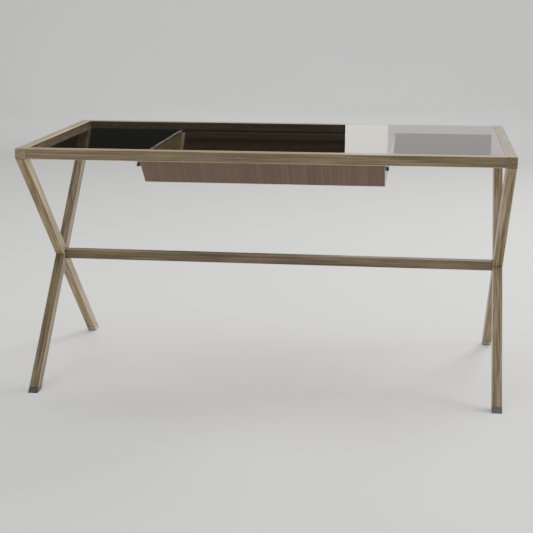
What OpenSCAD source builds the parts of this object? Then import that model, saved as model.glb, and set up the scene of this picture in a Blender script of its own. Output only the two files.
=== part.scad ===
// Computer desk: a flush glass top in a square-section timber frame, an X-shaped
// pair of legs at each end joined by a stretcher, and a shallow pull-out tray with
// slanted front and back that rolls in two steel channels under the top.
// Millimetres, +Z up, front towards -Y, origin on the floor below the middle.

/* [Desk] */
// Overall width
desk_w = 1400; // [1200:10:1600]
// Overall depth, the same at the top and at the feet
desk_d = 750; // [720:10:850]
// Height of the top
desk_h = 730; // [680:5:780]

/* [Timber] */
// Side of the square rails, legs and stretcher
bar = 30; // [28:1:40]
// Rounding of their long edges
ease = 1.6; // [0.8:0.2:3]
// Thickness of the battens that carry the glass
batten_t = 8; // [6:0.5:12]
// Diameter of the wooden dowels
dowel_d = 8; // [6:1:8]

/* [Glass] */
// Thickness of the glass
glass_t = 8; // [5:1:10]
// Gap between the glass and the rails
glass_gap = 1; // [0.5:0.5:2]
// Thickness of the clear pads under the glass
pad_t = 1; // [0.5:0.5:2]

/* [Feet] */
// Height of the plastic foot caps
foot_h = 15; // [10:1:20]

/* [Tray] */
// Width of the tray's front panel
tray_w = 690; // [500:2:800]
// Depth of the tray at its top edge
tray_d = 651; // [560:1:660]
// Height of the tray
tray_h = 69; // [55:1:80]
// Slant of the tray's front and back from upright, in degrees
tray_slant = 45; // [20:1:46]
// Thickness of the front panel
front_t = 12; // [10:1:15]
// Thickness of the back panel
board_t = 10; // [8:1:12]
// Thickness of the thin sides, which the runners stiffen
side_t = 4; // [4:1:10]
// Thickness of the tray's floor
floor_t = 6; // [4:0.5:8]

/* [Slides] */
// How far the tray pulls out
travel = 400; // [250:10:420]
// Height of the slide channels
channel_h = 20; // [20:1:24]
// Width of the slide channels
channel_w = 10; // [10:1:16]
// Thickness of the channel and runner steel
steel_t = 1.8; // [1:0.1:2]
// Diameter of the nylon rollers
roller_d = 11; // [9:0.5:11]
// Radius of the roller axles
axle_r = 2; // [1.5:0.25:2.5]

/* [Hidden] */
$fn = 32;
past = 1;

half_w = desk_w / 2;
half_d = desk_d / 2;
rail_z = desk_h - bar;
open_x = half_w - bar;
open_y = half_d - bar;
batten_h = bar - glass_t - pad_t;
bar_mid_x = half_w - bar / 2;

// Both legs of an end run corner to corner, so their lean follows from
// desk_d * cos(lean) - rail_z * sin(lean) = bar.
lean = acos(bar / norm([desk_d, rail_z])) - atan2(rail_z, desk_d);
foot_w = bar / cos(lean);
foot_y = half_d - foot_w / 2;
cross_z = rail_z / 2;

dowel_r = dowel_d / 2;
dowel_l = 30;
rail_dowel_l = 24;
dowel_pitch = 12;
// Distance of a leg's front-most or back-most dowel from the middle of its slanted end
leg_dowel_off = 14.5;

foot_neck_h = 0.8;
foot_neck_inset = 1;
spigot_r = 4;
spigot_l = 12;

bolt_r = 4;
bolt_head_r = 6.5;
bolt_head_h = 8;
bolt_sink = 9;
bolt_l = 88;
bolt_hole_r = 4.2;
socket_r = 3.4;
nut_r = 5;
nut_l = 18;
nut_x = open_x - 42;

screw_r = 1.75;
screw_head_r = 3.4;
screw_head_h = 2;
batten_screw_z = rail_z + batten_h / 2;
batten_screw_l = 22;

// The tray in its closed place. Its front reaches a little way under the front rail.
tray_gap = 3;
front_lap = 6;
tray_top = rail_z - tray_gap;
tray_low = tray_top - tray_h;
tray_front_y = -open_y - front_lap;
tray_back_y = tray_front_y + tray_d;
slant_run = tray_h * tan(tray_slant);
front_run = front_t / cos(tray_slant);
back_run = board_t / cos(tray_slant);
side_out = tray_w / 2 - 1;
side_in = side_out - side_t;
groove = 4;
side_groove = side_t / 2;
floor_z = tray_low + 4;
block = 10;
stiffener_h = 17;
stiffener_t = 12;
stiffener_x = side_in - block - 6;

// The channels hang under the rails and open towards the tray.
channel_in = side_out + steel_t + 0.6;
channel_out = channel_in + channel_w;
channel_low = rail_z - channel_h;
channel_lip = 4;
// The screwed tabs reach past the channel's ends, and back along it to their roots.
tab_l = 25;
tab_root = 10;
tab_screw_y = [open_y + 6, open_y + 18];
tab_screw_x = channel_in + channel_w / 2;

roller_r = roller_d / 2;
roller_gap = 0.3;
rear_roller_z = channel_low + steel_t + roller_gap + roller_r;
front_roller_z = rear_roller_z + 0.2;
flange_z = front_roller_z + roller_r + roller_gap;
front_roller_y = -open_y + 30;
rear_roller_y = tray_back_y - 15;
roller_w = channel_w - steel_t - 3.3;
roller_x = channel_in + 1 + roller_w / 2;
bore_r = axle_r + 0.05;
axle_head_r = axle_r + 1.2;
axle_head_h = 0.6;
web_low = channel_low + 2;
// The runner's web and flange start just behind the slanted front panel.
web_front = tray_front_y + front_run + (tray_top - web_low) * tan(tray_slant) + 1;
flange_front = tray_front_y + front_run + (tray_top - flange_z) * tan(tray_slant) + 0.5;
runner_back = tray_back_y - 6;
stop_h = 5;

OAK = [0.62, 0.57, 0.45];
VENEER = [0.42, 0.34, 0.28];
PLY = [0.72, 0.66, 0.5];
WHITE = [0.82, 0.81, 0.8];
DARK = [0.3, 0.3, 0.3];
NYLON = [0.88, 0.87, 0.84];
GREY = [0.45, 0.44, 0.45];
STEEL = [0.66, 0.66, 0.68];
CLEAR = [0.75, 0.85, 0.82, 0.4];

// ---- shared shapes ----

module at_sides(xs, ys, zs) {
  for (x = xs, y = ys, z = zs) translate([x, y, z]) children();
}

// A square bar's section with eased corners.
module bar_section(side) {
  square([side, side - 2 * ease], center = true);
  square([side - 2 * ease, side], center = true);
  for (x = [-1, 1], y = [-1, 1])
    translate([x, y] * (side / 2 - ease)) circle(r = ease);
}

module bar_along_x(length) {
  rotate([0, 90, 0]) linear_extrude(length, center = true) bar_section(bar);
}

module bar_along_y(length) {
  rotate([90, 0, 0]) linear_extrude(length, center = true) bar_section(bar);
}

module rod_x(r, length) {
  rotate([0, 90, 0]) cylinder(r = r, h = length, center = true);
}

// Everything that comes in a left and right pair is drawn on the right.
module on_left() {
  mirror([1, 0, 0]) children();
}

module slab(z0, z1) {
  translate([-desk_w, -desk_d, z0]) cube([2 * desk_w, 2 * desk_d, z1 - z0]);
}

// An outline in the Y-Z plane, extruded along X from x0 to x1.
module extrude_x(x0, x1) {
  translate([x0, 0, 0]) rotate([90, 0, 90]) linear_extrude(x1 - x0) children();
}

// ---- top frame ----

// Two dowels at each corner run from the front and back rails into the side rails.
module rail_dowels_all() {
  rail_dowel_z = [for (side = [-1, 1]) desk_h - bar / 2 + side * dowel_pitch / 2];
  at_sides([-open_x, open_x], [-1, 1] * (half_d - bar / 2), rail_dowel_z)
    rod_x(dowel_r, rail_dowel_l);
}

module rail_dowels() {
  color("burlywood") rail_dowels_all();
}

// Two upright dowels in the head of each leg, inside its slanted end.
module leg_dowels_all() {
  for (x = [-1, 1], side = [-1, 1], step = [0, 1])
    translate([x * bar_mid_x, side * (foot_y - leg_dowel_off + step * dowel_pitch), rail_z])
      cylinder(r = dowel_r, h = dowel_l, center = true);
}

module leg_dowels() {
  color("burlywood") leg_dowels_all();
}

function spaced(n, span) = [for (i = [0:n - 1]) -span / 2 + span * i / (n - 1)];

// Screw places along a front or back batten and along a side batten.
long_screw_x = spaced(4, desk_w - 240);
side_screw_y = spaced(3, desk_d - 240);

module batten_screw() {
  cylinder(r = screw_r, h = batten_screw_l);
  cylinder(r1 = screw_head_r, r2 = screw_r, h = screw_head_h);
}

// The heads sit flush in the battens' inner faces and the points lie in the rails.
module batten_screws_all() {
  for (x = long_screw_x, side = [-1, 1])
    translate([x, side * (open_y - batten_t), batten_screw_z]) rotate([-90 * side, 0, 0]) batten_screw();
  for (y = side_screw_y, side = [-1, 1])
    translate([side * (open_x - batten_t), y, batten_screw_z]) rotate([0, 90 * side, 0]) batten_screw();
}

module batten_screws() {
  color(STEEL) batten_screws_all();
}

module channel_screw_places() {
  at_sides([-1, 1] * tab_screw_x, concat(tab_screw_y, -tab_screw_y), [rail_z - steel_t])
    children();
}

module channel_screw() {
  cylinder(r = screw_r, h = 18);
  translate([0, 0, -screw_head_h]) cylinder(r = screw_head_r, h = screw_head_h);
}

module channel_screws() {
  color(STEEL) channel_screw_places() channel_screw();
}

module cross_rail(side) {
  color(OAK) difference() {
    translate([0, side * (half_d - bar / 2), desk_h - bar / 2]) bar_along_x(2 * open_x);
    rail_dowels_all();
    batten_screws_all();
    channel_screw_places() channel_screw();
  }
}

module front_rail() { cross_rail(-1); }
module back_rail() { cross_rail(1); }

module right_rail() {
  color(OAK) difference() {
    translate([bar_mid_x, 0, desk_h - bar / 2]) bar_along_y(desk_d);
    rail_dowels_all();
    leg_dowels_all();
    batten_screws_all();
  }
}

module left_rail() { on_left() right_rail(); }

module long_batten(side) {
  color(OAK) difference() {
    translate([-open_x, side > 0 ? open_y - batten_t : -open_y, rail_z])
      cube([2 * open_x, batten_t, batten_h]);
    batten_screws_all();
  }
}

module front_batten() { long_batten(-1); }
module back_batten() { long_batten(1); }

module right_batten() {
  color(OAK) difference() {
    translate([open_x - batten_t, -(open_y - batten_t), rail_z])
      cube([batten_t, 2 * (open_y - batten_t), batten_h]);
    batten_screws_all();
  }
}

module left_batten() { on_left() right_batten(); }

module glass_top() {
  color(CLEAR) translate([0, 0, desk_h - glass_t / 2])
    cube([2 * (open_x - glass_gap), 2 * (open_y - glass_gap), glass_t], center = true);
}

module glass_pads() {
  pad_r = 3;
  color("gainsboro") {
    at_sides(spaced(4, desk_w - 360), [-1, 1] * (open_y - batten_t / 2), [rail_z + batten_h])
      cylinder(r = pad_r, h = pad_t);
    at_sides([-1, 1] * (open_x - batten_t / 2), spaced(2, desk_d / 2), [rail_z + batten_h])
      cylinder(r = pad_r, h = pad_t);
  }
}

// ---- X legs ----

// A leg's whole leaning bar on the right end. Its foot is at the front for
// foot = -1 and at the back for foot = 1.
module leaning_bar(foot) {
  translate([bar_mid_x, 0, cross_z]) rotate([foot * lean, 0, 0])
    linear_extrude(2 * desk_h, center = true) bar_section(bar);
}

// The half of the crossing that the other leg takes up, outer or inner in X.
module lap_notch(foot, outer) {
  x0 = outer ? bar_mid_x : bar_mid_x - bar;
  translate([x0, 0, cross_z]) rotate([foot * lean, 0, 0])
    translate([0, -bar / 2, -desk_h]) cube([bar, bar, 2 * desk_h]);
}

module stretcher_bolt_holes() {
  for (side = [-1, 1]) {
    translate([side * (half_w - bolt_l / 2), 0, cross_z]) rod_x(bolt_hole_r, bolt_l + 2 * past);
    translate([side * half_w, 0, cross_z]) rod_x(bolt_head_r + 0.5, 2 * bolt_sink);
  }
}

module leg(foot) {
  color(OAK) difference() {
    intersection() {
      leaning_bar(foot);
      slab(foot_h, rail_z);
    }
    lap_notch(-foot, foot > 0);
    stretcher_bolt_holes();
    leg_dowels_all();
    translate([bar_mid_x, foot * (foot_y - foot_h * tan(lean)), 0])
      cylinder(r = spigot_r + 0.1, h = foot_h + spigot_l);
  }
}

module right_leg_front_foot() { leg(-1); }
module right_leg_back_foot() { leg(1); }
module left_leg_front_foot() { on_left() leg(-1); }
module left_leg_back_foot() { on_left() leg(1); }

// A cap continues the leg to the floor, with a thin neck at the seam and a spigot.
module foot_cap(foot) {
  inset = 1 - 2 * foot_neck_inset / bar;
  color(GREY) {
    intersection() {
      leaning_bar(foot);
      slab(0, foot_h - foot_neck_h);
    }
    intersection() {
      translate([bar_mid_x, 0, cross_z]) rotate([foot * lean, 0, 0])
        linear_extrude(2 * desk_h, center = true) scale(inset) bar_section(bar);
      slab(foot_h - foot_neck_h - 0.1, foot_h);
    }
    translate([bar_mid_x, foot * (foot_y - foot_h * tan(lean)), foot_h - foot_neck_h])
      cylinder(r = spigot_r, h = foot_neck_h + spigot_l - 0.5);
  }
}

module foot_front_right() { foot_cap(-1); }
module foot_back_right() { foot_cap(1); }
module foot_front_left() { on_left() foot_cap(-1); }
module foot_back_left() { on_left() foot_cap(1); }

module stretcher() {
  color(OAK) difference() {
    translate([0, 0, cross_z]) bar_along_x(2 * open_x);
    stretcher_bolt_holes();
    for (side = [-1, 1]) translate([side * nut_x, 0, cross_z - bar / 2 - past])
      cylinder(r = nut_r + 0.1, h = bar / 2 + nut_l / 2 + past);
  }
}

// Socket-head bolts through both crossed legs into the stretcher's ends.
module stretcher_bolts() {
  head_face = half_w - bolt_sink + bolt_head_h;
  color(STEEL) for (side = [-1, 1]) difference() {
    union() {
      translate([side * (head_face - bolt_head_h / 2), 0, cross_z]) rod_x(bolt_head_r, bolt_head_h);
      translate([side * (head_face - bolt_l / 2), 0, cross_z]) rod_x(bolt_r, bolt_l - 2 * past);
    }
    translate([side * head_face, 0, cross_z]) rotate([0, 90, 0])
      cylinder(r = socket_r, h = bolt_head_h, center = true, $fn = 6);
  }
}

module barrel_nuts() {
  color(STEEL) for (side = [-1, 1]) translate([side * nut_x, 0, cross_z]) difference() {
    cylinder(r = nut_r, h = nut_l, center = true);
    rod_x(bolt_r, 4 * nut_r);
  }
}

// ---- slides ----

// The channel's section has a bottom flange, an outer wall and a narrow lip at the top.
module channel_outline() {
  translate([channel_in, channel_low]) square([channel_w, steel_t]);
  translate([channel_out - steel_t, channel_low]) square([steel_t, channel_h]);
  translate([channel_out - channel_lip, rail_z - steel_t]) square([channel_lip, steel_t]);
}

// Small bent-up stops that the rear roller meets, closed and pulled out.
module channel_stops() {
  stop_off = roller_r + 0.6;
  for (y = [rear_roller_y + stop_off, rear_roller_y - travel - stop_off - steel_t])
    translate([channel_in + 2, y, channel_low + steel_t / 2])
      cube([channel_w - steel_t - 3, steel_t, stop_h]);
}

module right_channel() {
  color(WHITE) difference() {
    union() {
      rotate([90, 0, 0]) linear_extrude(2 * open_y, center = true) channel_outline();
      channel_stops();
      for (y = [-open_y - tab_l, open_y - tab_root]) translate([channel_in, y, rail_z - steel_t])
        cube([channel_w, tab_l + tab_root, steel_t]);
    }
    channel_screw_places() cylinder(r = screw_r + 0.1, h = 3 * steel_t, center = true);
    translate([channel_out, front_roller_y, front_roller_z]) rod_x(axle_r, 4 * steel_t);
  }
}

module left_channel() { on_left() right_channel(); }

module roller(y, z) {
  color(NYLON) translate([roller_x, y, z]) difference() {
    rod_x(roller_r, roller_w);
    rod_x(bore_r, roller_w + 2 * past);
  }
}

// The pin reaches from x0 to x1 and its head is at the x1 end.
module axle(x0, x1, y, z) {
  dir = sign(x1 - x0);
  color(STEEL) {
    translate([(x0 + x1) / 2, y, z]) rod_x(axle_r, abs(x1 - x0));
    translate([x1 - dir * axle_head_h / 2, y, z]) rod_x(axle_head_r, axle_head_h);
  }
}

module front_roller_right() { roller(front_roller_y, front_roller_z); }
module front_roller_left() { on_left() front_roller_right(); }

module front_axle_right() {
  axle(channel_out, roller_x - roller_w / 2 - 0.2 - axle_head_h, front_roller_y, front_roller_z);
}

module front_axle_left() { on_left() front_axle_right(); }

module rear_roller_right() { roller(rear_roller_y, rear_roller_z); }
module rear_roller_left() { on_left() rear_roller_right(); }

module rear_axle_right() {
  axle(side_out, roller_x + roller_w / 2 + 0.2 + axle_head_h, rear_roller_y, rear_roller_z);
}

module rear_axle_left() { on_left() rear_axle_right(); }

// ---- tray ----

// A slanted panel's outline: its outer face starts at y at the top and runs
// inwards to the bottom, dir = 1 at the front and -1 at the back.
module slanted_outline(y, run, dir) {
  polygon([
    [y, tray_top],
    [y + dir * run, tray_top],
    [y + dir * (run + slant_run), tray_low],
    [y + dir * slant_run, tray_low]
  ]);
}

module floor_board() {
  y0 = tray_front_y + (tray_top - floor_z - floor_t) * tan(tray_slant) + front_run - groove;
  y1 = tray_back_y - (tray_top - floor_z - floor_t) * tan(tray_slant) - back_run + groove;
  translate([-(side_in + side_groove), y0, floor_z]) cube([2 * (side_in + side_groove), y1 - y0, floor_t]);
}

module tray_floor() {
  color(VENEER) floor_board();
}

module tray_front() {
  color(VENEER) difference() {
    extrude_x(-tray_w / 2, tray_w / 2) slanted_outline(tray_front_y, front_run, 1);
    floor_board();
  }
}

module tray_back() {
  color(VENEER) difference() {
    extrude_x(-side_out, side_out) slanted_outline(tray_back_y, back_run, -1);
    floor_board();
  }
}

tray_mid_y = (tray_front_y + tray_back_y) / 2;
runner_screw_y = [for (y = spaced(3, tray_d - 2 * slant_run - 40)) tray_mid_y + y];

// Short countersunk screws hold the runners, flush with their webs.
module runner_screw() {
  rotate([0, -90, 0]) {
    cylinder(r = screw_r, h = steel_t + side_t - 0.8);
    cylinder(r1 = screw_head_r, r2 = screw_r, h = screw_head_h);
  }
}

module runner_screws_right() {
  at_sides([side_out + steel_t], runner_screw_y, [channel_low + channel_h / 2]) runner_screw();
}

module runner_screws() {
  color(STEEL) {
    runner_screws_right();
    on_left() runner_screws_right();
  }
}

module tray_right_side() {
  y0 = tray_front_y + front_run;
  y1 = tray_back_y - back_run;
  color(PLY) difference() {
    extrude_x(side_in, side_out) polygon([
      [y0, tray_top], [y1, tray_top], [y1 - slant_run, tray_low], [y0 + slant_run, tray_low]
    ]);
    floor_board();
    runner_screws_right();
  }
}

module tray_left_side() { on_left() tray_right_side(); }

// A glue block follows the slant in a corner of the tray, above its floor.
module corner_block(y, run, dir) {
  intersection() {
    extrude_x(side_in - block, side_in) translate([dir * run, 0])
      slanted_outline(y, block / cos(tray_slant), dir);
    slab(floor_z + floor_t, tray_top - 2);
  }
}

module corner_blocks_right() {
  corner_block(tray_front_y, front_run, 1);
  corner_block(tray_back_y, back_run, -1);
}

module tray_corner_blocks() {
  color(PLY) {
    corner_blocks_right();
    on_left() corner_blocks_right();
  }
}

// A strip along the top of the back panel keeps it straight.
module tray_stiffener() {
  y_face = tray_back_y - back_run;
  color(VENEER) extrude_x(-stiffener_x, stiffener_x) polygon([
    [y_face, tray_top],
    [y_face - stiffener_t, tray_top],
    [y_face - stiffener_t - stiffener_h * tan(tray_slant), tray_top - stiffener_h],
    [y_face - stiffener_h * tan(tray_slant), tray_top - stiffener_h]
  ]);
}

// A runner's web lies on the tray's side and its flange rides on the front roller.
module right_runner() {
  color(DARK) difference() {
    union() {
      translate([side_out, web_front, web_low])
        cube([steel_t, runner_back - web_front, flange_z + steel_t - web_low]);
      translate([side_out, flange_front, flange_z])
        cube([channel_w - 1, runner_back - flange_front, steel_t]);
    }
    runner_screws_right();
    translate([side_out, rear_roller_y, rear_roller_z]) rod_x(axle_r, 4 * steel_t);
  }
}

module left_runner() { on_left() right_runner(); }

front_rail();
back_rail();
left_rail();
right_rail();
rail_dowels();
front_batten();
back_batten();
left_batten();
right_batten();
batten_screws();
glass_pads();
left_leg_front_foot();
left_leg_back_foot();
right_leg_front_foot();
right_leg_back_foot();
leg_dowels();
foot_front_left();
foot_front_right();
foot_back_left();
foot_back_right();
stretcher();
stretcher_bolts();
barrel_nuts();
left_channel();
right_channel();
channel_screws();
front_axle_left();
front_axle_right();
front_roller_left();
front_roller_right();
tray_front();
tray_back();
tray_left_side();
tray_right_side();
tray_floor();
tray_corner_blocks();
tray_stiffener();
left_runner();
right_runner();
runner_screws();
rear_axle_left();
rear_axle_right();
rear_roller_left();
rear_roller_right();
glass_top();
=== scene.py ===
"""Looks of the glass-topped desk with crossed legs and a pull-out tray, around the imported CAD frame.
Metres, +X to the right, +Y to the back, +Z up."""

import math

import bmesh
import bpy
from mathutils import Euler, Matrix, Vector


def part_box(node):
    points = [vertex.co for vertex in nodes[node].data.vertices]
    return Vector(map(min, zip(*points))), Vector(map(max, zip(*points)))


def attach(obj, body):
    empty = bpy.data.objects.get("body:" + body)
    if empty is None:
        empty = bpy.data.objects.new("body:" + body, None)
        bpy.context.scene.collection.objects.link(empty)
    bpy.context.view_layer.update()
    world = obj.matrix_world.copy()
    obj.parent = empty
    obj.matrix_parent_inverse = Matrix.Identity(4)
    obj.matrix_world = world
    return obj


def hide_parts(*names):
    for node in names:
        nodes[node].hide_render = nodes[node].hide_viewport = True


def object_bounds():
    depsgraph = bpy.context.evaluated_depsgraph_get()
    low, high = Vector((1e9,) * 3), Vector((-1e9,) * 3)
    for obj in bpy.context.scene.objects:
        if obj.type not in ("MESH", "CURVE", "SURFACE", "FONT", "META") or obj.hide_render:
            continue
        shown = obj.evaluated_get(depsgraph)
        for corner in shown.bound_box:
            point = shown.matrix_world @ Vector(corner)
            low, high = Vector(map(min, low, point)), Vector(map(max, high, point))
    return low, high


MM = 0.001
WELD = 0.002 * MM
UPRIGHT = math.pi / 2

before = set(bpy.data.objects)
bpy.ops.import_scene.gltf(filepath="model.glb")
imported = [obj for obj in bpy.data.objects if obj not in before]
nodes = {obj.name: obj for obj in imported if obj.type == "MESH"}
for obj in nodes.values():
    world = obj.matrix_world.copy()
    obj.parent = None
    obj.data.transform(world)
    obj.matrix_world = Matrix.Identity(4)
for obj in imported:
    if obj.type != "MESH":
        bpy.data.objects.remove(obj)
cad_lo, cad_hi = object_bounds()

rail_lo, rail_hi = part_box("right_rail")
BAR = rail_hi.x - rail_lo.x
HALF_W, HALF_D = cad_hi.x, cad_hi.y
RAIL_Z = rail_lo.z
# The legs cross halfway up, and lean so that their corners fill the space under the rails.
CROSS_Z = RAIL_Z / 2
LEAN = math.acos(BAR / math.hypot(2 * HALF_D, RAIL_Z)) - math.atan2(RAIL_Z, 2 * HALF_D)


# ---- node helpers ----

class Nodes:
    """A new material's node tree, with short names for the nodes that are used here."""

    def __init__(self, name):
        self.material = bpy.data.materials.new(name)
        self.material.use_nodes = True
        self.tree = self.material.node_tree
        self.tree.nodes.clear()
        output = self.add("ShaderNodeOutputMaterial")
        self.shader = self.add("ShaderNodeBsdfPrincipled")
        self.link(self.shader.outputs[0], output.inputs["Surface"])
        self.place = self.add("ShaderNodeTexCoord").outputs["Object"]

    def add(self, kind, **settings):
        """A new node with those settings."""
        node = self.tree.nodes.new(kind)
        for key, value in settings.items():
            setattr(node, key, value)
        return node

    def link(self, source, target):
        """Feeds a socket from another socket, or sets it to a value."""
        if isinstance(source, bpy.types.NodeSocket):
            self.tree.links.new(source, target)
        else:
            target.default_value = source

    def set(self, **values):
        """Sets the shader's inputs, named with _ for each space."""
        for key, value in values.items():
            self.shader.inputs[key.replace("_", " ")].default_value = value

    def mapped(self, vector, scale=(1, 1, 1), location=(0, 0, 0)):
        """A vector that is scaled, then moved."""
        node = self.add("ShaderNodeMapping")
        self.link(vector, node.inputs["Vector"])
        node.inputs["Location"].default_value = location
        node.inputs["Scale"].default_value = scale
        return node.outputs[0]

    def local(self, centre, turn):
        """Object coordinates seen from centre, turned so that the piece's length lies along X."""
        node = self.add("ShaderNodeMapping", vector_type="TEXTURE")
        self.link(self.place, node.inputs["Vector"])
        node.inputs["Location"].default_value = centre
        node.inputs["Rotation"].default_value = turn
        return node.outputs[0]

    def noise(self, vector, scale, detail=2.0, roughness=0.5, distortion=0.0):
        """A noise whose grain size is set by scale, one number or three, in turns a metre."""
        if not isinstance(scale, (int, float)):
            vector = self.mapped(vector, scale=scale)
            scale = 1.0
        node = self.add("ShaderNodeTexNoise")
        self.link(vector, node.inputs["Vector"])
        node.inputs["Scale"].default_value = scale
        node.inputs["Detail"].default_value = detail
        node.inputs["Roughness"].default_value = roughness
        node.inputs["Distortion"].default_value = distortion
        return node.outputs["Fac"]

    def math(self, operation, a, b=0.0):
        """A number made of a and b."""
        node = self.add("ShaderNodeMath", operation=operation)
        self.link(a, node.inputs[0])
        self.link(b, node.inputs[1])
        return node.outputs[0]

    def fit(self, value, low, high, to_low=0.0, to_high=1.0):
        """Maps value smoothly from the range low to high onto to_low to to_high."""
        node = self.add("ShaderNodeMapRange", interpolation_type="SMOOTHSTEP")
        self.link(value, node.inputs["Value"])
        node.inputs["From Min"].default_value = low
        node.inputs["From Max"].default_value = high
        node.inputs["To Min"].default_value = to_low
        node.inputs["To Max"].default_value = to_high
        return node.outputs[0]

    def mix(self, amount, a, b):
        """Colour a turned into colour b by amount, from 0 to 1."""
        node = self.add("ShaderNodeMix", data_type="RGBA")
        self.link(amount, node.inputs[0])
        for value, socket in ((a, node.inputs[6]), (b, node.inputs[7])):
            self.link((*value, 1.0) if isinstance(value, tuple) else value, socket)
        return node.outputs[2]

    def parts(self, vector):
        """A vector's x, y and z."""
        node = self.add("ShaderNodeSeparateXYZ")
        self.link(vector, node.inputs[0])
        return node.outputs[0], node.outputs[1], node.outputs[2]

    def joined(self, x, y, z):
        """The vector of those three."""
        node = self.add("ShaderNodeCombineXYZ")
        for value, socket in zip((x, y, z), node.inputs):
            self.link(value, socket)
        return node.outputs[0]

    def bump(self, height, distance, strength):
        """The normal of a surface that is raised by height times distance, in metres."""
        node = self.add("ShaderNodeBump")
        self.link(height, node.inputs["Height"])
        node.inputs["Distance"].default_value = distance
        node.inputs["Strength"].default_value = strength
        return node.outputs[0]

    def finish(self, colour, roughness, normal):
        """Joins the three to the shader, and returns the material."""
        self.link(colour, self.shader.inputs["Base Color"])
        self.link(roughness, self.shader.inputs["Roughness"])
        self.link(normal, self.shader.inputs["Normal"])
        return self.material


# ---- materials ----

# Colours are linear. A veneer or board has a dark, a middle and a light one.
OAK_LIGHT = (0.430, 0.336, 0.190)
OAK_MID = (0.290, 0.214, 0.112)
OAK_DARK = (0.105, 0.070, 0.034)
OAK_OLIVE = (0.305, 0.245, 0.096)
# The joints' colour, partly a dark joint line and partly painted shade.
SEAM_DIRT_AND_SHADE = (0.030, 0.021, 0.013)
BROWN = ((0.055, 0.029, 0.016), (0.082, 0.044, 0.025), (0.102, 0.059, 0.034))
CREAM = ((0.46, 0.36, 0.21), (0.60, 0.49, 0.31), (0.70, 0.60, 0.42))
BOARD = ((0.114, 0.083, 0.038), (0.158, 0.120, 0.057), (0.189, 0.152, 0.079))
BEECH = ((0.42, 0.29, 0.17), (0.58, 0.43, 0.28), (0.68, 0.54, 0.38))
RING_STEP = 7.5 * MM
SEAM_WIDTH = 1.6 * MM


def edge_nearness(n, across, up, half):
    """1 on a square bar's eased long edges and 0 elsewhere. across and up run from the bar's middle line."""
    nearer = n.math("MINIMUM", n.math("ABSOLUTE", across), n.math("ABSOLUTE", up))
    return n.fit(nearer, half - 2.6 * MM, half - 0.7 * MM)


def seam_nearness(n, reach, place):
    """1 where reach, a distance or a height, is at the joint's place, and 0 beyond SEAM_WIDTH from it."""
    return n.fit(n.math("ABSOLUTE", n.math("SUBTRACT", reach, place)), SEAM_WIDTH, 0.3 * SEAM_WIDTH)


def facing(n, direction):
    """How far the surface faces a direction: 1 when it faces it squarely, -1 when it faces away."""
    node = n.add("ShaderNodeVectorMath", operation="DOT_PRODUCT")
    n.link(n.add("ShaderNodeNewGeometry").outputs["True Normal"], node.inputs[0])
    node.inputs[1].default_value = direction
    return node.outputs["Value"]


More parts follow.
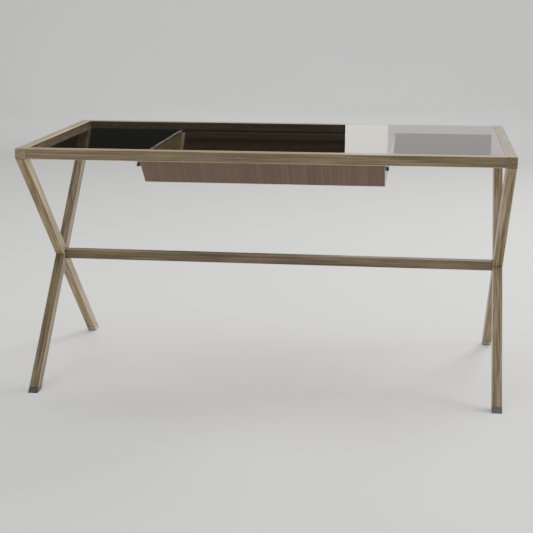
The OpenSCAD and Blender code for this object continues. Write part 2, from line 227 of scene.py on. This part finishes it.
def oak(name, centre, turn, seed, half, tint, lacquer, top_sheen=0.0, seams=(), top_seam=None, knot=None):
    """Greige oak, satin lacquered: growth rings cut along the bar, long streaks, pores and flecks.

    A square bar gives half its side as half, for edges paled partly as worn wood and partly as a painted
    highlight. tint multiplies the board's tone, in part as painted light and shade, lacquer is how shiny it
    is and bleach is how far its top is paled by a painted sheen. seams are joints' distances along it from
    its centre and top_seam is a joint's height above the floor; those joints are darkened, partly as painted
    shade. knot is a knot's place.
    """
    n = Nodes(name)
    local = n.local(centre, turn)
    grain = n.mapped(local, location=(0.37 * seed, 0.11 * seed, -0.07 * seed))
    along, across, up = n.parts(local)
    light, middle, dark, olive_tone = (
        tuple(t * c for t, c in zip(tint, colour)) for colour in (OAK_LIGHT, OAK_MID, OAK_DARK, OAK_OLIVE)
    )

    drift = n.noise(grain, (1.9, 12, 12), detail=2)
    wander = n.math("MULTIPLY", n.math("SUBTRACT", drift, 0.5), 0.11)
    pith_y = n.math("ADD", n.math("ADD", across, 0.019 + 0.004 * math.sin(seed)), wander)
    pith_z = n.math("ADD", up, 0.044 + 0.012 * math.cos(2 * seed))
    ring_reach = n.add("ShaderNodeVectorMath", operation="LENGTH")
    n.link(n.joined(0.0, pith_y, pith_z), ring_reach.inputs[0])
    turns = n.math("MULTIPLY", ring_reach.outputs["Value"], 1 / RING_STEP)
    saw = n.math("FRACT", turns)
    late_wood = n.math("MULTIPLY", n.fit(saw, 0.30, 0.85), n.fit(saw, 1.0, 0.90))

    streaks = n.noise(grain, (4.5, 135, 135), detail=3, roughness=0.55)
    fine = n.noise(n.mapped(grain, location=(1.3, 2.2, 0.9)), (6, 290, 290), detail=2)
    broad = n.noise(grain, (2.6, 44, 44), detail=2)
    patches = n.noise(n.mapped(grain, location=(0.7, 4.1, 2.3)), (7, 26, 26), detail=2)
    olive = n.noise(n.mapped(grain, location=(3.1, 1.7, 0.4)), (2.6, 75, 75), detail=2)
    pores = n.noise(grain, (16, 900, 900), detail=2, roughness=0.6)
    flecks = n.noise(n.mapped(grain, location=(5.3, 0.2, 2.9)), (30, 160, 420), detail=1)

    colour = n.mix(n.fit(streaks, 0.38, 0.60), middle, light)
    colour = n.mix(n.math("MULTIPLY", late_wood, 0.36), colour, dark)
    colour = n.mix(n.fit(broad, 0.56, 0.36, 0.0, 0.50), colour, dark)
    colour = n.mix(n.fit(patches, 0.50, 0.66, 0.0, 0.42), colour, middle)
    colour = n.mix(n.fit(fine, 0.50, 0.62, 0.0, 0.55), colour, dark)
    colour = n.mix(n.fit(fine, 0.48, 0.36, 0.0, 0.45), colour, light)
    colour = n.mix(n.fit(olive, 0.5, 0.70, 0.0, 0.6), colour, olive_tone)
    colour = n.mix(n.fit(pores, 0.56, 0.72, 0.0, 0.38), colour, dark)
    colour = n.mix(n.fit(flecks, 0.64, 0.76, 0.0, 0.40), colour, light)

    rough = n.fit(streaks, 0.3, 0.7, 0.46, 0.36)
    if half:
        # Eased edges are paled, partly as worn wood and partly as a painted highlight where they catch the
        # light.
        edge_wear_and_highlight = n.math("MULTIPLY", edge_nearness(n, across, up, half), n.fit(broad, 0.3, 0.6, 0.5, 0.95))
        colour = n.mix(edge_wear_and_highlight, colour, tuple(min(1.0, 1.6 * c) for c in light))
        rough = n.math("SUBTRACT", rough, n.math("MULTIPLY", edge_wear_and_highlight, 0.08))
    if top_sheen:
        # Faces that look up are paled as a painted sheen.
        painted_top_sheen = n.fit(facing(n, Vector((0, 0, 1))), 0.8, 0.95, 0.0, top_sheen)
        colour = n.mix(painted_top_sheen, colour, tuple(min(1.0, 2.2 * c) for c in light))
    lengthways = facing(n, Euler(turn).to_matrix() @ Vector((1, 0, 0)))
    end_grain = n.fit(n.math("ABSOLUTE", lengthways), 0.8, 0.95, 0.0, 0.55)
    colour = n.mix(end_grain, colour, dark)
    if knot:
        spot = n.add("ShaderNodeVectorMath", operation="DISTANCE")
        n.link(n.mapped(n.place, scale=(0.45, 1, 1.3)), spot.inputs[0])
        spot.inputs[1].default_value = (0.45 * knot[0], knot[1], 1.3 * knot[2])
        ragged = n.math("MULTIPLY", n.math("SUBTRACT", fine, 0.5), 4 * MM)
        reach = n.math("ADD", spot.outputs["Value"], ragged)
        colour = n.mix(n.fit(reach, 4.2 * MM, 1.6 * MM, 0.0, 0.9), colour, dark)
    reach = n.math("ABSOLUTE", along)
    # Joints are darkened, partly as dark joint lines and partly as painted shade in the crease.
    for place in seams:
        colour = n.mix(n.math("MULTIPLY", seam_nearness(n, reach, place), 0.55), colour, SEAM_DIRT_AND_SHADE)
    if top_seam:
        height = n.parts(n.place)[2]
        colour = n.mix(n.math("MULTIPLY", seam_nearness(n, height, top_seam), 0.85), colour, SEAM_DIRT_AND_SHADE)
    relief = n.math("SUBTRACT", n.math("MULTIPLY", streaks, 0.6), n.fit(pores, 0.52, 0.75))
    normal = n.bump(relief, 0.12 * MM, 0.55)
    n.set(Coat_Weight=0.15 * lacquer, Coat_Roughness=0.2, Specular_IOR_Level=0.08 + 0.42 * min(1.0, lacquer))
    return n.finish(colour, rough, normal)


def veneer(name, along, seed, tones, box=None):
    """Thin straight-grained veneer or board.

    along names the axes the grain runs in, and tones are its dark, middle and light colours. A box gives the
    panel a paler band along its lower and side edges, partly edge banding and partly a painted highlight.
    """
    n = Nodes(name)
    dark, middle, light = tones
    grain = n.mapped(n.place, location=(0.21 * seed, -0.13 * seed, 0.17 * seed))

    def scale(lengthways, sideways):
        return tuple(lengthways if axis in along else sideways for axis in "XYZ")

    bands = n.noise(grain, scale(0.6, 30), detail=2)
    lines = n.noise(grain, scale(1.6, 210), detail=3, roughness=0.6)
    pores = n.noise(grain, scale(26, 1100), detail=1)
    figure = n.noise(n.mapped(grain, location=(4, 2, 7)), scale(1.2, 75), detail=3)
    colour = n.mix(n.fit(lines, 0.36, 0.64), middle, light)
    colour = n.mix(n.fit(bands, 0.58, 0.36, 0.0, 0.25), colour, dark)
    colour = n.mix(n.fit(figure, 0.55, 0.72, 0.0, 0.28), colour, dark)
    colour = n.mix(n.fit(pores, 0.55, 0.72, 0.0, 0.4), colour, dark)
    if box:
        lo, hi = box
        wide, _, high = n.parts(n.place)
        off_middle = n.math("ABSOLUTE", n.math("SUBTRACT", wide, (lo.x + hi.x) / 2))
        half = (hi.x - lo.x) / 2
        sides = n.fit(off_middle, half - 2.4 * MM, half - 1.2 * MM)
        foot = n.fit(high, lo.z + 2.4 * MM, lo.z + 1.0 * MM)
        # The pale band is partly edge banding and partly a painted highlight on the arris.
        colour = n.mix(n.math("MULTIPLY", n.math("MAXIMUM", sides, foot), 0.6), colour, CREAM[0])
    rough = n.fit(lines, 0.3, 0.7, 0.50, 0.42)
    height = n.math("SUBTRACT", n.math("MULTIPLY", lines, 0.4), n.fit(pores, 0.52, 0.75))
    n.set(Coat_Weight=0.08, Coat_Roughness=0.35, Specular_IOR_Level=0.4)
    return n.finish(colour, rough, n.bump(height, 0.1 * MM, 0.5))


def speckled(name, base, rough, contrast=0.06, grain=900, bump=0.05, metallic=0.0, **settings):
    """Moulded plastic, paint or metal, with speckles, a cloudy tone and rougher handling marks."""
    n = Nodes(name)
    cloud = n.noise(n.place, 26, detail=3)
    speckle = n.noise(n.place, grain, detail=2, roughness=0.6)
    marks = n.noise(n.place, (60, 460, 60), detail=3, roughness=0.7)
    low = tuple(c * (1 - 2 * contrast) for c in base)
    high = tuple(min(1.0, c * (1 + contrast)) for c in base)
    colour = n.mix(n.fit(cloud, 0.3, 0.7), low, high)
    colour = n.mix(n.fit(speckle, 0.55, 0.7, 0.0, 0.35), colour, low)
    handled = n.fit(marks, 0.35, 0.7, rough - 0.05, rough + 0.09)
    roughness = n.math("ADD", handled, n.fit(speckle, 0.4, 0.7, 0.0, 0.04))
    n.set(Metallic=metallic, **settings)
    return n.finish(colour, roughness, n.bump(speckle, bump * MM, 0.4))


def clear_glass(name):
    """Float glass with a light grey-brown body, wiped to a shine, with slight smears."""
    n = Nodes(name)
    smears = n.noise(n.place, (5, 16, 5), detail=4, roughness=0.65, distortion=1.2)
    wave = n.noise(n.place, 3.5, detail=1)
    body = n.noise(n.place, 1.5, detail=1)
    colour = n.mix(body, (0.56, 0.535, 0.49), (0.59, 0.56, 0.52))
    n.set(Transmission_Weight=1.0, IOR=1.5)
    return n.finish(colour, n.fit(smears, 0.45, 0.75, 0.0, 0.025), n.bump(wave, 0.02 * MM, 0.2))


def clear_soft(name):
    """Slightly milky clear rubber."""
    n = Nodes(name)
    cloud = n.noise(n.place, 300, detail=2)
    colour = n.mix(cloud, (0.78, 0.8, 0.79), (0.9, 0.91, 0.9))
    n.set(Transmission_Weight=0.6, IOR=1.43)
    return n.finish(colour, n.fit(cloud, 0.3, 0.7, 0.12, 0.25), n.bump(cloud, 0.03 * MM, 0.3))


# ---- modifiers on the CAD nodes ----

def soften(obj, width):
    """Welds the CAD mesh's split edges and gives its sharp edges a small machined ease."""
    weld = obj.modifiers.new("weld", "WELD")
    weld.merge_threshold = WELD
    ease = obj.modifiers.new("ease", "BEVEL")
    ease.width = width
    ease.segments = 2
    ease.limit_method = "ANGLE"
    ease.angle_limit = math.radians(40)
    ease.use_clamp_overlap = True
    shade = obj.modifiers.new("shade", "WEIGHTED_NORMAL")
    shade.keep_sharp = False
    shade.weight = 60


def paint(obj, material):
    """Gives an object that material alone."""
    obj.data.materials.clear()
    obj.data.materials.append(material)


# ---- timber ----

ALONG_X = (0, 0, 0)
ALONG_Y = (0, 0, UPRIGHT)
WOOD_EASE = 0.5 * MM

# Each board's grain direction, tint, lacquer and how far its top is paled by a painted sheen.
timbers = {
    "front_rail": (ALONG_X, (0.495, 0.477, 0.44), 3.0, 0.5),
    "back_rail": (ALONG_X, (0.74, 0.76, 0.80), 3.0, 0.3),
    # The left rail's paler, bluer tint is a painted sheen.
    "left_rail": (ALONG_Y, (1.04, 1.10, 1.28), 1.0, 0.0),
    "right_rail": (ALONG_Y, (0.73, 0.73, 0.71), 1.4, 0.0),
    "front_batten": (ALONG_X, (0.8, 0.8, 0.8), 1.0, 0.0),
    "back_batten": (ALONG_X, (0.6, 0.6, 0.6), 1.0, 0.0),
    "left_batten": (ALONG_Y, (0.8, 0.8, 0.8), 1.0, 0.0),
    "right_batten": (ALONG_Y, (0.8, 0.8, 0.8), 1.0, 0.0),
    "stretcher": (ALONG_X, (0.42, 0.41, 0.40), 1.0, 0.0),
}
# The legs are one oak; their tints differ as painted light and shade, each to how that leg is lit.
leg_shading_tints = {
    "left_leg_front_foot": (0.58, 0.61, 0.75),
    "left_leg_back_foot": (0.81, 0.84, 0.88),
    "right_leg_front_foot": (0.71, 0.75, 0.92),
    "right_leg_back_foot": (0.68, 0.71, 0.82),
}


def leg_turn(foot):
    """Turns X onto a leg's length. Its foot is at the front for foot = -1 and at the back for foot = 1."""
    along = Vector((0, -foot * math.sin(LEAN), math.cos(LEAN)))
    side = Vector((1, 0, 0))
    third = along.cross(side)
    turn = Matrix((along, side, third)).transposed()
    return tuple(turn.to_euler())


# The knots' places. Legs take their seeds round LEG_SEED, past the boards' own.
KNOT = {"right_rail": (HALF_W - 10 * MM, -HALF_D, RAIL_Z + 10 * MM)}
LEG_SEED = 11

for number, (node, (turn, tint, lacquer, top_sheen)) in enumerate(timbers.items(), start=1):
    lo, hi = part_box(node)
    half = None if "batten" in node else BAR / 2
    seams = (HALF_W - BAR,) if turn == ALONG_X else ()
    material = oak("oak_" + node, (lo + hi) / 2, turn, number, half, tint, lacquer, top_sheen, seams,
                   knot=KNOT.get(node))
    paint(nodes[node], material)
    soften(nodes[node], WOOD_EASE)

for number, side in enumerate(("left", "right")):
    for foot, place in ((-1, "front"), (1, "back")):
        node = f"{side}_leg_{place}_foot"
        lo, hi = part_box(node)
        middle = Vector(((lo.x + hi.x) / 2, 0, CROSS_Z))
        seed = LEG_SEED + 2 * number + foot
        material = oak("oak_" + node, middle, leg_turn(foot), seed, BAR / 2, leg_shading_tints[node], lacquer=0.0,
                       seams=(BAR / 2,), top_seam=RAIL_Z)
        paint(nodes[node], material)
        soften(nodes[node], WOOD_EASE)


# ---- the other pieces' materials ----

brown_front = veneer("brown_veneer_front", "YZ", 1, BROWN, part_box("tray_front"))
brown_upright = veneer("brown_veneer_upright", "YZ", 7, BROWN)
brown_flat = veneer("brown_veneer_flat", "X", 2, BROWN)
board_long = veneer("light_board_long", "Y", 3, BOARD)
cream_block = veneer("light_wood_block", "YZ", 4, CREAM)
beech = veneer("dowel_beech", "X", 5, BEECH)
beech_upright = veneer("dowel_beech_upright", "Z", 6, BEECH)
white_epoxy = speckled("white_epoxy", (0.58, 0.575, 0.57), 0.34, contrast=0.03, bump=0.04, Coat_Weight=0.2)
# The runners' dark paint stands partly for the shade they lie in under the glass.
dark_epoxy_and_shade = speckled("dark_epoxy_and_shade", (0.040, 0.038, 0.036), 0.42, contrast=0.04, bump=0.04, Coat_Weight=0.1)
# The right channel has the left one's white paint, tinted lilac as painted bluish light.
white_epoxy_blue_lit = speckled("white_epoxy_blue_lit", (0.50, 0.495, 0.60), 0.34, contrast=0.03, bump=0.04, Coat_Weight=0.2)
zinc = speckled("zinc_plate", (0.56, 0.56, 0.58), 0.3, contrast=0.08, bump=0.02, metallic=1.0)
nylon = speckled("white_nylon", (0.72, 0.71, 0.66), 0.42, contrast=0.03, bump=0.03)
moulded = {"contrast": 0.10, "grain": 1500, "bump": 0.08}
# The caps are one grey plastic, painted as lit and shaded copies: darker at the front left, paler at the
# back.
grey_plastic = speckled("foot_plastic", (0.088, 0.084, 0.082), 0.40, **moulded)
shaded_cap_plastic = speckled("foot_plastic_painted_shade", (0.052, 0.049, 0.047), 0.40, **moulded)
lit_cap_plastic = speckled("foot_plastic_painted_light", (0.27, 0.262, 0.25), 0.42, **moulded)
glass = clear_glass("float_glass")
soft_pad = clear_soft("clear_rubber")

# Each node's material, and the ease of its edges in millimetres.
finishes = {
    "tray_front": (brown_front, 0.8),
    "tray_back": (brown_upright, 0.6),
    "tray_floor": (brown_flat, 0.3),
    "tray_left_side": (board_long, 0.5),
    "tray_right_side": (board_long, 0.5),
    "tray_corner_blocks": (cream_block, 0.5),
    "tray_stiffener": (brown_flat, 0.5),
    "rail_dowels": (beech, 0.4),
    "leg_dowels": (beech_upright, 0.4),
    "left_channel": (white_epoxy, 0.25),
    "right_channel": (white_epoxy_blue_lit, 0.25),
    "left_runner": (dark_epoxy_and_shade, 0.25),
    "right_runner": (dark_epoxy_and_shade, 0.25),
    "stretcher_bolts": (zinc, 0.4),
    "barrel_nuts": (zinc, 0.4),
    "front_axle_left": (zinc, 0.1),
    "front_axle_right": (zinc, 0.1),
    "rear_axle_left": (zinc, 0.1),
    "rear_axle_right": (zinc, 0.1),
    "foot_front_left": (shaded_cap_plastic, 0.8),
    "foot_front_right": (grey_plastic, 0.8),
    "foot_back_left": (lit_cap_plastic, 0.8),
    "foot_back_right": (lit_cap_plastic, 0.8),
    "glass_pads": (soft_pad, 0.3),
}
for node, (material, ease) in finishes.items():
    paint(nodes[node], material)
    soften(nodes[node], ease * MM)


# ---- turned and recessed small parts ----

END_BAND = 0.05 * MM
HEAD_H = 2 * MM
TIP_L = 2.6 * MM


def link_mesh(name, bm, material, body, replaced):
    """Makes an object of bm that stands for a CAD node and moves with body."""
    mesh = bpy.data.meshes.new(name)
    bm.to_mesh(mesh)
    bm.free()
    obj = bpy.data.objects.new(name, mesh)
    bpy.context.scene.collection.objects.link(obj)
    paint(obj, material)
    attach(obj, body)
    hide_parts(replaced)
    return obj


def turned(bm, profile, place, axis, steps=40):
    """Spins a profile of (radius, distance along axis) pairs round an axis through place."""
    turn = Vector((0, 0, 1)).rotation_difference(axis).to_matrix()
    rings = []
    for radius, reach in profile:
        ring = []
        for i in range(steps):
            a = 2 * math.pi * i / steps
            point = Vector((radius * math.cos(a), radius * math.sin(a), reach))
            ring.append(bm.verts.new(place + turn @ point))
        rings.append(ring)
    for one, two in zip(rings, rings[1:]):
        for i in range(steps):
            j = (i + 1) % steps
            face = bm.faces.new((one[i], one[j], two[j], two[i]))
            face.smooth = True
    return rings


def solids_of(node):
    """The corner points of each loose solid of a CAD node."""
    bm = bmesh.new()
    bm.from_mesh(nodes[node].data)
    bm.transform(nodes[node].matrix_world)
    bmesh.ops.remove_doubles(bm, verts=bm.verts, dist=WELD)
    left = set(bm.verts)
    solids = []
    while left:
        reached = [left.pop()]
        points = []
        while reached:
            vert = reached.pop()
            points.append(vert.co.copy())
            for edge in vert.link_edges:
                other = edge.other_vert(vert)
                if other in left:
                    left.remove(other)
                    reached.append(other)
        solids.append(points)
    bm.free()
    return sorted(solids, key=lambda pts: tuple(sum(pts, Vector()) / len(pts)))


def cross_recess(bm, rim, place, turn, radius, depth):
    """Closes a head inside its rim loop with a face that has a cross-shaped recess."""
    arm, waist, taper = 0.58 * radius, 0.17 * radius, 0.62
    quarter = [Vector((arm, -waist, 0)), Vector((arm, waist, 0)), Vector((waist, waist, 0))]
    outline = [Matrix.Rotation(UPRIGHT * k, 3, "Z") @ point for k in range(4) for point in quarter]
    top = [bm.verts.new(place + turn @ p) for p in outline]
    foot = [bm.verts.new(place + turn @ Vector((taper * p.x, taper * p.y, -depth))) for p in outline]
    count = len(outline)
    top_edges = [bm.edges.new((top[i], top[(i + 1) % count])) for i in range(count)]
    rim_edges = [bm.edges.get((rim[i], rim[(i + 1) % len(rim)])) for i in range(len(rim))]
    bmesh.ops.triangle_fill(bm, edges=top_edges + rim_edges, use_beauty=True)
    for i in range(count):
        j = (i + 1) % count
        bm.faces.new((top[i], top[j], foot[j], foot[i]))
    bm.faces.new(foot)


def end_radius(points, middle, axis, end):
    """How far a solid's points at one end of an axis through middle stand off that axis."""
    to_end = Vector([0.0, 0.0, 0.0])
    to_end[axis] = end - middle[axis]
    return max((point - middle - to_end).length for point in points if abs(point[axis] - end) < END_BAND)


def screws(node, body, dome):
    """Cross-recessed screws where the CAD node's screws are, with domed or countersunk heads."""
    bm = bmesh.new()
    for points in solids_of(node):
        lo = Vector([min(p[i] for p in points) for i in range(3)])
        hi = Vector([max(p[i] for p in points) for i in range(3)])
        # The longest side counts as the axis. The runner screws' heads are wider than the screws are long,
        # so their turned stand-ins come out upright, and not along X as in the CAD.
        long_axis = max(range(3), key=lambda i: hi[i] - lo[i])
        middle = (lo + hi) / 2
        radii = [end_radius(points, middle, long_axis, corner[long_axis]) for corner in (lo, hi)]
        out = Vector([0.0, 0.0, 0.0])
        out[long_axis] = 1.0 if radii[1] > radii[0] else -1.0
        head_r, shank_r = max(radii), min(radii)
        length = (hi - lo)[long_axis]
        top = middle + out * length / 2
        turn = Vector((0, 0, 1)).rotation_difference(out).to_matrix()
        if dome:
            head = [(0.72 * head_r, 0), (0.9 * head_r, -0.25 * HEAD_H), (head_r, -0.6 * HEAD_H),
                    (head_r, -0.98 * HEAD_H), (shank_r, -HEAD_H)]
        else:
            head = [(0.95 * head_r, 0), (0.995 * head_r, -0.04 * HEAD_H), (shank_r, -HEAD_H)]
        shank = [(0.98 * shank_r, TIP_L - length), (0.1 * shank_r, 0.1 * MM - length)]
        rings = turned(bm, head + shank, top, out)
        bm.faces.new(rings[-1])
        cross_recess(bm, rings[0], top, turn, 0.9 * head_r, 0.6 * HEAD_H)
    bmesh.ops.recalc_face_normals(bm, faces=bm.faces)
    link_mesh(node + "_recessed", bm, zinc, body, node)


def roller(node):
    """A moulded nylon roller with a rounded tread, a hub and a shallow dish between them."""
    points = solids_of(node)[0]
    lo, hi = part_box(node)
    middle = (lo + hi) / 2
    half = (hi.x - lo.x) / 2
    outer = (hi.z - lo.z) / 2
    bore = min(math.hypot(p.y - middle.y, p.z - middle.z) for p in points)
    hub = [(bore, 0.96), (1.06 * bore, 1.0), (1.45 * bore, 1.0), (1.55 * bore, 0.78)]
    tread = [(0.78 * outer, 0.78), (0.82 * outer, 0.97), (0.86 * outer, 1.0), (0.93 * outer, 0.95),
             (0.98 * outer, 0.83), (outer, 0.66)]
    side = hub + tread
    profile = [(r, half * reach) for r, reach in side] + [(r, -half * reach) for r, reach in reversed(side)]
    bm = bmesh.new()
    turned(bm, profile + profile[:1], middle, Vector((1, 0, 0)), steps=48)
    bmesh.ops.remove_doubles(bm, verts=bm.verts, dist=WELD)
    bmesh.ops.recalc_face_normals(bm, faces=bm.faces)
    link_mesh(node + "_turned", bm, nylon, node, node)


screws("batten_screws", "frame", False)
screws("channel_screws", "frame", True)
screws("runner_screws", "tray", False)
for node in ("front_roller_left", "front_roller_right", "rear_roller_left", "rear_roller_right"):
    roller(node)


# ---- the glass ----

def glass_sheet():
    """The top with rounded corners and a polished arris round both faces."""
    lo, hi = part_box("glass_top")
    bm = bmesh.new()
    bmesh.ops.create_cube(bm, size=1.0)
    bmesh.ops.scale(bm, vec=hi - lo, verts=bm.verts)
    bmesh.ops.translate(bm, vec=(lo + hi) / 2, verts=bm.verts)
    upright = [e for e in bm.edges if abs(e.verts[0].co.z - e.verts[1].co.z) > MM]
    bmesh.ops.bevel(bm, geom=upright, offset=2 * MM, segments=4, affect="EDGES", profile=0.5)
    rims = [e for e in bm.edges if abs(e.verts[0].co.z - e.verts[1].co.z) < MM / 10]
    bmesh.ops.bevel(bm, geom=rims, offset=0.8 * MM, segments=2, affect="EDGES", profile=0.5)
    sheet = link_mesh("glass_sheet", bm, glass, "frame", "glass_top")
    # Light passes the sheet without a shadow, so that the tray under it is lit.
    sheet.visible_shadow = False


glass_sheet()


# ---- stage ----

FLOOR_R = 8.0
SWEEP_R = 4.0
SWEEP_STEPS = 16
SWEEP_TURNS = 96


def studio_sweep():
    """A pale floor that curves up all round into a backdrop."""
    mesh = bpy.data.meshes.new("studio_sweep")
    bm = bmesh.new()
    profile = [(MM, 0.0), (0.5 * FLOOR_R, 0.0), (FLOOR_R, 0.0)]
    for i in range(1, SWEEP_STEPS + 1):
        a = UPRIGHT * i / SWEEP_STEPS
        profile.append((FLOOR_R + SWEEP_R * math.sin(a), SWEEP_R * (1 - math.cos(a))))
    points = [bm.verts.new((r, 0, z)) for r, z in profile]
    edges = [bm.edges.new(pair) for pair in zip(points, points[1:])]
    bmesh.ops.spin(
        bm, geom=points + edges, axis=(0, 0, 1), cent=(0, 0, 0), angle=2 * math.pi,
        steps=SWEEP_TURNS, use_duplicate=False,
    )
    bmesh.ops.remove_doubles(bm, verts=bm.verts, dist=2 * MM)
    for face in bm.faces:
        face.smooth = True
    bm.to_mesh(mesh)
    bm.free()
    sweep = bpy.data.objects.new("studio_sweep", mesh)
    bpy.context.scene.collection.objects.link(sweep)
    n = Nodes("studio_pale")
    cloud = n.noise(n.place, 0.7, detail=2)
    fine = n.noise(n.place, 40, detail=3)
    colour = n.mix(cloud, (0.79, 0.785, 0.77), (0.83, 0.825, 0.81))
    paint(sweep, n.finish(colour, n.fit(fine, 0.3, 0.7, 0.7, 0.8), n.bump(fine, 0.1 * MM, 0.2)))


studio_sweep()


# ---- camera ----

CAMERA_PLACE = Vector((0.4437, -3.837, 1.1981))
CAMERA_YAW = -0.14054
CAMERA_PITCH = 0.29654
CAMERA_ROLL = -0.00128
SENSOR_WIDTH = 36
LENS = 85.087
SHIFT_X = 0.0434
SHIFT_Y = 0.1759


def camera():
    """The scene's camera. Yaw is to the right of +Y and pitch is downwards, in radians."""
    data = bpy.data.cameras.new("camera")
    data.sensor_width = SENSOR_WIDTH
    data.lens = LENS
    data.shift_x = SHIFT_X
    data.shift_y = SHIFT_Y
    obj = bpy.data.objects.new("camera", data)
    bpy.context.scene.collection.objects.link(obj)
    ahead = Vector((
        math.sin(CAMERA_YAW) * math.cos(CAMERA_PITCH),
        math.cos(CAMERA_YAW) * math.cos(CAMERA_PITCH),
        -math.sin(CAMERA_PITCH),
    ))
    obj.location = CAMERA_PLACE
    roll = Matrix.Rotation(CAMERA_ROLL, 3, "Z")
    obj.rotation_euler = (ahead.to_track_quat("-Z", "Y").to_matrix() @ roll).to_euler()
    bpy.context.scene.camera = obj


camera()


# ---- glowing cards: painted reflections in the glass, and a painted dark view through it ----

CARD_Y = 3.2
CARD_FOOT = 0.93
CARD_TOP = 3.0
CARD_GAP = 0.02
DARK_REACH = 6
WALL_REACH = 4
PANEL_FOOT = 1.09
FLOOR_CARD_FOOT = -0.02
FLOOR_CARD_TOP = 0.85

# Bearings from the camera of the mirrored window's sides, and of the darker panel beside it.
WINDOW_LEFT = -0.0602
WINDOW_RIGHT = -0.0271
PANEL_LEFT = -0.0222
PANEL_RIGHT = 0.0525

# What the cards glow with.
DARK = (0.021, 0.0222, 0.018)
WINDOW = (2.15, 2.12, 1.8)
WALL = (0.97, 0.90, 0.875)
PANEL = (0.54, 0.52, 0.50)


def card_x(bearing):
    """Where a card's edge lies to be seen at that bearing from the camera, in radians right of +Y."""
    return CAMERA_PLACE.x + (CARD_Y - CAMERA_PLACE.y) * math.tan(bearing)


def card(name, low, high, y, tone, mirrored=True):
    """An upright glowing card behind the desk. low and high are the x and z of two of its corners.

    Only rays that leave the glass meet it, and other reflected rays too when it is mirrored.
    """
    (left, foot), (right, top) = low, high
    corners = [(left, y, foot), (right, y, foot), (right, y, top), (left, y, top)]
    mesh = bpy.data.meshes.new(name)
    mesh.from_pydata(corners, [], [(0, 1, 2, 3)])
    obj = bpy.data.objects.new(name, mesh)
    bpy.context.scene.collection.objects.link(obj)
    material = bpy.data.materials.new(name)
    material.use_nodes = True
    tree = material.node_tree
    tree.nodes.clear()
    light = tree.nodes.new("ShaderNodeEmission")
    light.inputs["Color"].default_value = (*tone, 1)
    out = tree.nodes.new("ShaderNodeOutputMaterial")
    tree.links.new(light.outputs[0], out.inputs["Surface"])
    obj.data.materials.append(material)
    obj.visible_camera = False
    obj.visible_diffuse = False
    obj.visible_shadow = False
    obj.visible_glossy = mirrored


window_left, window_right = card_x(WINDOW_LEFT), card_x(WINDOW_RIGHT)
panel_left, panel_right = card_x(PANEL_LEFT), card_x(PANEL_RIGHT)
card("dark_card", (-DARK_REACH, CARD_FOOT), (window_left, CARD_TOP), CARD_Y, DARK)
card("window_card", (window_left, CARD_FOOT), (window_right, CARD_TOP), CARD_Y, WINDOW)
card("wall_card", (window_right, CARD_FOOT), (WALL_REACH, CARD_TOP), CARD_Y, WALL)
card("panel_card", (panel_left, PANEL_FOOT), (panel_right, CARD_TOP), CARD_Y - CARD_GAP, PANEL)
# The floor card is seen only through the glass; its dark glow is painted shade on the floor beyond.
card("floor_card", (-DARK_REACH, FLOOR_CARD_FOOT), (DARK_REACH, FLOOR_CARD_TOP), CARD_Y + CARD_GAP, DARK,
     mirrored=False)


# ---- lights ----

def softbox(name, place, target, size, power, tone=(1, 1, 1), mirrored=True):
    """A rectangular soft light aimed at target. When not mirrored, no sheen or glass shows it."""
    data = bpy.data.lights.new(name, "AREA")
    data.shape = "RECTANGLE"
    data.size, data.size_y = size
    data.energy = power
    data.color = tone
    obj = bpy.data.objects.new(name, data)
    bpy.context.scene.collection.objects.link(obj)
    obj.location = place
    obj.rotation_euler = (Vector(target) - Vector(place)).to_track_quat("-Z", "Y").to_euler()
    obj.visible_glossy = mirrored
    obj.visible_transmission = mirrored


softbox("key_back_right", (2.6, 3.0, 3.2), (0, 0, 0.5), (2.4, 1.8), 250, (1.0, 0.985, 0.96))
softbox("top", (-0.5, 0.6, 3.6), (0, 0, 0.5), (3.0, 2.4), 95, mirrored=False)
softbox("side_right", (4.2, -0.2, 1.5), (0, 0, 0.4), (1.8, 2.0), 110)
softbox("fill_front", (-1.5, -4.2, 2.4), (0, 0, 0.45), (3.0, 2.0), 42)
softbox("backdrop", (0, 5.2, 3.2), (0, 10, 2.4), (5.0, 1.5), 220)

world = bpy.data.worlds.new("studio_air")
bpy.context.scene.world = world
world.use_nodes = True
background = world.node_tree.nodes["Background"]
background.inputs["Color"].default_value = (0.98, 0.98, 1.0, 1)
background.inputs["Strength"].default_value = 0.5
